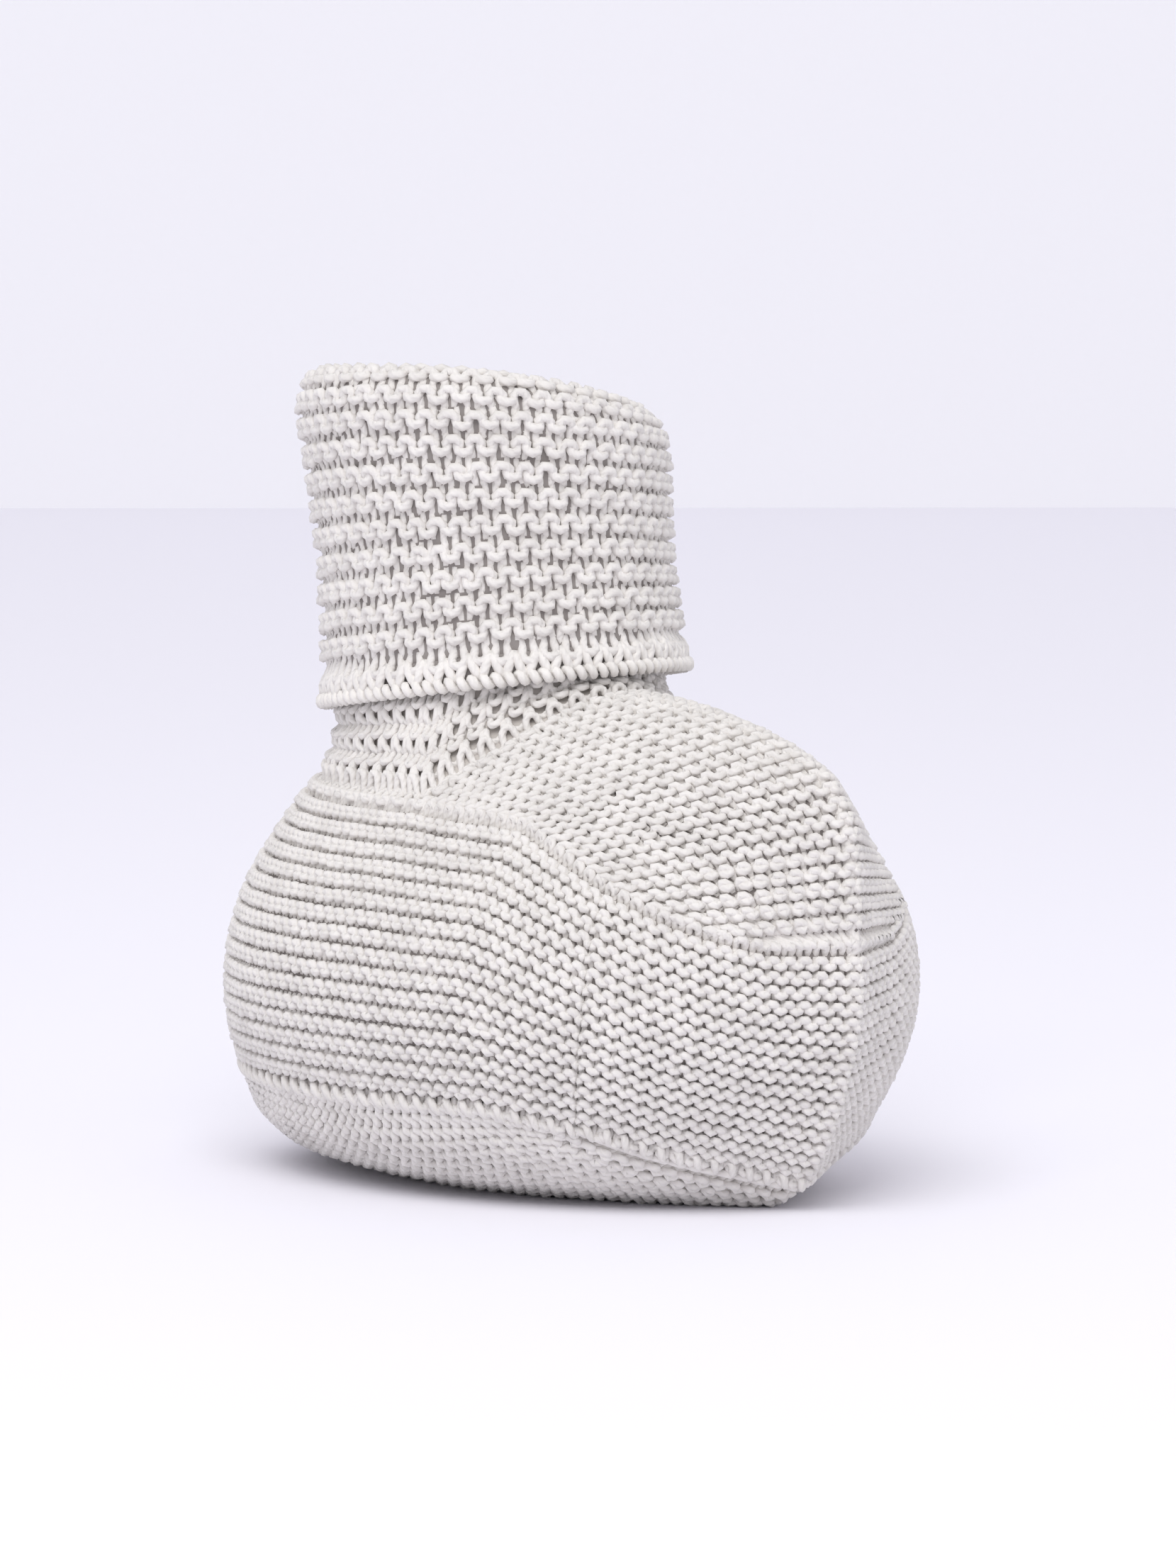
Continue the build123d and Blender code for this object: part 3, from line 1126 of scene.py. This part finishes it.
@dataclass
class Ankle:
    """The ankle band with its rows of eyelets, between the foot's top edge and the leg.

    Attributes:
        foot: the foot, already knitted.
        leg: the leg's axis.
        gauge: how the band is knitted.
        stitch: width of a stitch.
        eyelet_rows: rows of eyelets, each two rows of loops high.
        radius: of its upper edge about the leg's axis.
        top: height of the upper edge along the axis, from the ankle.
        top_in_front: the same above the instep.
        lining: heights of the lining's outer and inner side above the fabric's middle.
        bend: not used.
        evenness: share by which stitches keep to equal lengths of the foot's edge instead of equal angles.
        blur: columns over which the directions at the foot's edge are averaged, on each side.
        handles: lengths of the curve's handles at the leg and at the foot, as shares of its span.
    """

    foot: Foot
    leg: LegForm
    gauge: Gauge = Gauge(yarn=0.86, depth=0.46, reach=0.64, waist=0.07, pinch=0.16, unevenness=0.04)
    stitch: float = 2.9
    eyelet_rows: int = 4
    radius: float = 18.0
    top: float = 5.2
    top_in_front: float = 9.0
    lining: Tuple[float, float] = (-0.3, -0.6)
    bend: Tuple[float, float, float] = (0.3, 1.5, 5.1)
    evenness: float = 0.65
    blur: int = 36
    handles: Tuple[float, float] = (0.45, 0.3)

    def build(self, wardrobe: Wardrobe) -> None:
        """Knit the band between the foot and the leg; it rides on no body.

        Args:
            wardrobe: the finishes.
        """
        skin = self.surface()
        rows = [Row.FEET_OUT, Row.LEGS_OUT] * self.eyelet_rows + [Row.HEADS_OUT, Row.FEET_OUT]
        foot_end = skin.points[-1]
        around = float(np.linalg.norm(foot_end - np.roll(foot_end, 1, axis=0), axis=1).sum())
        knit = Knit(skin, self.gauge, rows, [round(around / self.stitch)] * len(rows), seed=11)
        # the band's lining takes the lighter painted shade seen through its eyelets
        finishes = (wardrobe.yarn, wardrobe.painted_eyelet_shade)
        made = knitted(knit, "ankle_band_knit", "", "ankle_band", finishes, self.lining)
        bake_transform(made)

    def surface(self, rows: int = 61) -> Skin:
        """The band's outer face: in every direction from the leg's axis, a curve down to the foot's top edge.

        It is a Bezier curve that leaves the leg along its axis and meets the foot along its skin.

        Args:
            rows: of the grid.

        Returns:
            The surface.
        """
        wall, flap = self.foot.wall.points, self.foot.flap.points
        behind = wall[0, :, 0] < FLAP_START
        rim = np.concatenate([wall[0, behind], flap[0]])
        under = np.concatenate([wall[3, behind], flap[4]])
        around = np.arctan2(rim[:, 1], rim[:, 0] - self.leg.centre) % TURN
        order = np.argsort(around)
        around, rim, under = around[order], rim[order], under[order]

        def sample(table: Grid, turn: Grid) -> Grid:
            """A table's rows at angles about the leg's axis."""
            turn = turn % TURN
            return np.stack([np.interp(turn, around, column, period=TURN) for column in table.T], axis=-1)

        loop = sample(rim, self.leg.turns)
        loop = np.concatenate([loop, loop[:1]])
        length = np.concatenate([[0], np.cumsum(np.linalg.norm(np.diff(loop, axis=0), axis=1))])
        even = np.linspace(0, length[-1], self.leg.columns, endpoint=False)
        spaced = math.pi + np.interp(even, length, np.arange(len(loop))) * TURN / self.leg.columns
        turn = (1 - self.evenness) * self.leg.turns + self.evenness * spaced
        bottom, below = sample(rim, spaced), sample(under, spaced)
        flat = np.full((1, self.leg.columns), self.radius)
        front = (0.5 + 0.5 * np.cos(turn)) ** 2
        height = (self.top + (self.top_in_front - self.top) * front)[None]
        top = self.leg.round_about(height, flat, turn)[0]
        axis = top - self.leg.round_about(height - 1, flat, turn)[0]
        rise = soften(bottom - below, self.blur)
        rise /= np.linalg.norm(rise, axis=1, keepdims=True)
        span = np.linalg.norm(top - bottom, axis=1, keepdims=True)
        t = np.linspace(0, 1, rows)[:, None, None]
        handles = (top, top - axis * span * self.handles[0], bottom + rise * span * self.handles[1], bottom)
        weights = ((1 - t) ** 3, 3 * t * (1 - t) ** 2, 3 * t * t * (1 - t), t**3)
        return Skin(even_out(sum(w * h for w, h in zip(weights, handles)), rows))


@dataclass
class Leg:
    """The leg tube under the cuff."""

    form: LegForm
    gauge: Gauge = Gauge(yarn=1.04, depth=0.5, reach=0.94, waist=0.15)
    radius: float = 17.9
    start: float = 4.8  # height of the lower edge along the axis, from the ankle
    end: float = 34.0  # the same of the upper edge, about which the mouth slopes
    stitches: int = 46
    rows: int = 20
    seam: Seam = Seam(pitch=2.4, width=1.3, sunk=2.2, depth=0.7, radius=0.4)
    join: Seam = Seam(pitch=2.4, width=1.2, sunk=2.2, depth=0.7, radius=0.4)

    def build(self, wardrobe: Wardrobe) -> None:
        """Knit the tube, close it at the back and join it to the band.

        Args:
            wardrobe: the finishes.
        """
        flat = np.full(self.form.columns, self.radius)
        end = self.end + self.form.mouth(flat)
        along = end + np.linspace(0, 1, 61)[:, None] * (self.start - end)
        skin = Skin(self.form.round_about(along, np.broadcast_to(flat, along.shape)))
        knit = Knit(skin, self.gauge, garter(self.rows), [self.stitches] * self.rows, seed=13)
        knitted(knit, "leg_tube_knit", "leg", "leg_tube", wardrobe.fabric, (0.1, -0.2))
        v = np.linspace(0.05, 0.95, 60)
        sew(self.seam, skin, 0 * v, v, "leg_seam", "leg", "leg_seam_yarn", wardrobe.joining)
        u = np.linspace(0, 1, 361)
        sew(self.join, skin, u, 0 * u + 0.97, "ankle_join", "leg", "ankle_join_yarn", wardrobe.joining)


@dataclass
class Cuff:
    """The cuff, turned down over the leg from a fold at the mouth, with a cast-off edge at its hem.

    Attributes:
        form: the leg's axis and the mouth's slope.
        gauge: how the cuff is knitted.
        profile: from inside the mouth to the hem, height along the axis and distance from it.
        hem_slope: how the hem rises towards the toe and towards the wearer's left.
        tuck: how far the rim is drawn in where it slouches.
        sway: how far the cuff sits off the axis, ahead and to the wearer's left.
        stitches: round the cuff.
        row: height of a row.
        fold_rows: rows from the inner edge over the fold.
        edge_gauge: how the cast-off edge is knitted.
        edge_start: height of its upper side under the hem.
        edge_height: height of its lower side under the hem.
        edge_out: how far it stands out of the cuff's face.
        seam: how the cuff's ends are sewn.
    """

    form: LegForm
    gauge: Gauge = Gauge(yarn=1.06, depth=0.5, reach=0.98, waist=0.165, unevenness=0.06)
    profile: Tuple[Tuple[float, float], ...] = (
        (31.7, 15.7), (34.7, 15.7), (36.5, 16.1), (37.5, 17.3), (37.1, 18.9), (35.5, 20.3), (32.7, 21.0),
        (27.0, 20.6), (19.5, 20.0), (12.0, 20.0), (5.9, 20.3),
    )
    hem_slope: Tuple[float, float] = (0.039, 0.012)
    tuck: float = 1.6
    sway: Tuple[float, float] = (0.6, 0.75)
    stitches: int = 49
    row: float = 1.42
    fold_rows: int = 8
    edge_gauge: Gauge = Gauge(yarn=1.1, depth=0.4, reach=0.5, waist=-0.03, unevenness=0.05)
    edge_start: float = -0.3
    edge_height: float = 2.5
    edge_out: float = 0.3
    seam: Seam = Seam(pitch=2.6, width=1.5, sunk=0.3, depth=0.8, radius=0.42)

    def build(self, wardrobe: Wardrobe) -> None:
        """Knit the fold, the turned-down layer and the edge, and close the cuff at the back.

        Args:
            wardrobe: the finishes.
        """
        skin = self.surface()
        length = np.linalg.norm(np.diff(skin.points, axis=0), axis=2).sum(axis=0).mean()
        rows = 2 * round(float(length) / (2 * self.row))
        knit = Knit(skin, self.gauge, garter(rows), [self.stitches] * rows, seed=17)
        fold = slice(0, self.fold_rows)
        knitted(knit, "cuff_fold", "cuff", "cuff", [wardrobe.yarn], (), rows=fold)
        rest = slice(self.fold_rows, None)
        knitted(knit, "cuff_turned_down", "cuff", "cuff", wardrobe.fabric, rows=rest)
        self.build_edge(skin, wardrobe)
        v = np.linspace(0.3, 0.98, 80)
        sew(self.seam, skin, 0 * v, v, "cuff_seam", "cuff", "cuff_seam_yarn", wardrobe.joining)

    def surface(self, rows: int = 181) -> Skin:
        """The cuff's face from inside the mouth over the fold to the hem.

        The profile turned about the leg's axis, with a slope that passes from the rim's to the hem's, a
        slouch at one side of the rim and a slow ripple in its radius. The whole sways a little off the axis.

        Args:
            rows: of the grid.

        Returns:
            The surface.
        """
        knots = np.linspace(0, 1, len(self.profile))
        s = np.linspace(0, 1, rows)
        along, radius = follow(knots, np.array(self.profile), s).T
        turn = self.form.turns
        ripple = 0.25 * np.sin(2 * turn + 0.6) + 0.18 * np.sin(3 * turn + 2.0) + 0.1 * np.sin(5 * turn)
        radius = radius[:, None] + ripple * (0.6 + 0.4 * np.cos(4 * s))[:, None]
        low, high = along[-1], along.max()
        share = np.where(s < s[along.argmax()], 1.0, np.clip((along - low) / (high - low), 0, 1))[:, None]
        radius = radius - self.tuck * share**2 * self.form.lean_in()
        hem = radius * (self.hem_slope[0] * np.cos(turn) + self.hem_slope[1] * np.sin(turn))
        tilt = share * self.form.mouth(radius) + (1 - share) * hem
        points = self.form.round_about(along[:, None] + tilt, radius) + np.array([*self.sway, 0.0])
        return Skin(even_out(points, rows))

    def build_edge(self, skin: Skin, wardrobe: Wardrobe) -> None:
        """Cast off under the last row.

        A round of tall stitches, whose legs stand out like a row of Vs, has along its bottom a round of short
        ones, two to a stitch.

        Args:
            skin: the cuff's face.
            wardrobe: the finishes.
        """
        hem, before = skin.points[-1], skin.points[-4]
        down = hem - before
        down /= np.linalg.norm(down, axis=1, keepdims=True)
        steps = np.linspace(self.edge_start, self.edge_height, 13)[:, None, None]
        edge = Skin(hem + steps * down + self.edge_out * skin.normals[-1])
        knit = Knit(edge, self.edge_gauge, [Row.LEGS_OUT], [self.stitches], seed=19)
        piece = Piece()
        knit.lay(piece)
        u = np.linspace(0, 1, 721)
        around = float(np.linalg.norm(np.diff(hem, axis=0), axis=1).sum())
        chain = Seam(pitch=around / self.stitches / 2, width=0.9, sunk=0.75, depth=0.9, radius=0.52)
        piece.add_strand(*chain.whip(edge, u, 0 * u + 1.0))
        piece.add_lining(edge, self.edge_gauge, -0.2, -0.5)
        # the edge's lining takes the painted shade of the gaps
        finishes = (wardrobe.edge, wardrobe.painted_gap_shade)
        dress(piece, "cuff_edge_chain", "cuff", ["cuff_edge"], finishes)


@dataclass
class Studio:
    """The floor, the backdrop, the lights and the camera, with distances from the leg in metres."""

    bearing: float = 50.0  # where the camera looks from, in degrees from the wearer's right
    elevation: float = 8.0
    distance: float = 0.995
    lens: float = 206.0  # focal length, in millimetres
    floor_end: float = 1.087  # where the backdrop stands
    width: float = 2.5  # half the width of floor and backdrop
    floor_start: float = 3.0
    wall_height: float = 2.5
    sky: float = 0.64  # strength of the light from all round

    def spot(self, ahead: float, side: float, height: float) -> Tuple[float, float, float]:
        """Place a point in the studio.

        Args:
            ahead: distance from the leg towards the camera.
            side: distance to the camera's right.
            height: above the floor.

        Returns:
            The point.
        """
        a = math.radians(self.bearing)
        x = LegForm.centre * MM + ahead * math.sin(a) + side * math.cos(a)
        return x, -ahead * math.cos(a) + side * math.sin(a), height

    def sheet(self, name: str, corners: Sequence[Tuple[float, float, float]], finish: StudioFinish) -> None:
        """A flat sheet of seamless paper.

        Args:
            name: of the object.
            corners: for spot.
            finish: of the paper.
        """
        mesh = bpy.data.meshes.new(name)
        mesh.from_pydata([self.spot(*corner) for corner in corners], [], [(0, 1, 2, 3)])
        mesh.materials.append(finish.build())
        made = bpy.data.objects.new(name, mesh)
        bpy.context.scene.collection.objects.link(made)

    def lamp(
        self, name: str, place: Tuple[float, float, float], size: float, power: float, tint: Colour
    ) -> None:
        """A square soft light that faces the bootie.

        Args:
            name: of the object.
            place: for spot.
            size: of its side.
            power: in watts.
            tint: of its light.
        """
        light = bpy.data.lights.new(name, "AREA")
        light.size = size
        light.energy = power
        light.color = tint
        made = bpy.data.objects.new(name, light)
        made.location = self.spot(*place)
        made.rotation_mode = "QUATERNION"
        made.rotation_quaternion = made.location.to_track_quat("Z", "Y")
        bpy.context.scene.collection.objects.link(made)

    def build(self) -> None:
        """Lay the floor, hang the backdrop, light the scene and place the camera."""
        end, near, side, high = self.floor_end, self.floor_start, self.width, self.wall_height
        paper = StudioFinish("floor_paper", (0.95, 0.935, 1.0))
        wall = StudioFinish("backdrop_paper", (0.975, 0.97, 1.0))
        self.sheet("floor", ((-end, side, 0), (-end, -side, 0), (near, -side, 0), (near, side, 0)), paper)
        hung = ((-end, side, 0), (-end, side, high), (-end, -side, high), (-end, -side, 0))
        self.sheet("backdrop", hung, wall)
        world = bpy.data.worlds.new("studio")
        world.use_nodes = True
        sky = world.node_tree.nodes["Background"]
        sky.inputs["Color"].default_value = (0.965, 0.965, 1.0, 1.0)
        sky.inputs["Strength"].default_value = self.sky
        bpy.context.scene.world = world
        bpy.context.scene.view_settings.view_transform = "Standard"
        self.lamp("key", (1.0, -0.2, 1.3), 1.1, 14.0, (1.0, 1.0, 1.0))
        self.lamp("fill", (0.9, 0.9, 0.7), 1.0, 0.5, (1.0, 0.99, 0.98))
        data = bpy.data.cameras.new("camera")
        data.sensor_width = 36.0
        data.lens = self.lens
        camera = bpy.data.objects.new("camera", data)
        level = self.distance * math.cos(math.radians(self.elevation))
        camera.location = self.spot(level, 0, self.distance * math.sin(math.radians(self.elevation)))
        low, high = CAD_BOX
        camera.rotation_mode = "QUATERNION"
        camera.rotation_quaternion = (camera.location - (low + high) / 2).to_track_quat("Z", "Y")
        bpy.context.scene.collection.objects.link(camera)
        bpy.context.scene.camera = camera


def main() -> None:
    """Build the bootie and its studio."""
    logging.basicConfig(level=logging.INFO, format="%(message)s")
    wardrobe = Wardrobe(
        yarn=YarnFinish("cotton_yarn", (0.845, 0.815, 0.785), (0.765, 0.735, 0.705)).build(),
        # the yarn darkened for the linings: painted shade in the gaps between loops
        painted_gap_shade=YarnFinish("painted_shade_lining", (0.31, 0.285, 0.27), (0.26, 0.235, 0.225), sheen=0.0).build(),
        # the yarn darkened less for the band's lining: painted shade seen through its eyelets
        painted_eyelet_shade=YarnFinish(
            "painted_shade_behind_eyelets", (0.60, 0.565, 0.53), (0.54, 0.50, 0.47), sheen=0.0
        ).build(),
        joining=YarnFinish("joining_yarn", (0.85, 0.82, 0.785), (0.77, 0.74, 0.706)).build(),
        edge=YarnFinish("cast_off_yarn", (0.88, 0.85, 0.815), (0.80, 0.77, 0.737)).build(),
    )
    foot = Foot(FootForm())
    foot.build(wardrobe)
    leg = LegForm()
    Ankle(foot, leg).build(wardrobe)
    Leg(leg).build(wardrobe)
    Cuff(leg).build(wardrobe)
    Studio().build()


if __name__ == "__main__":
    main()
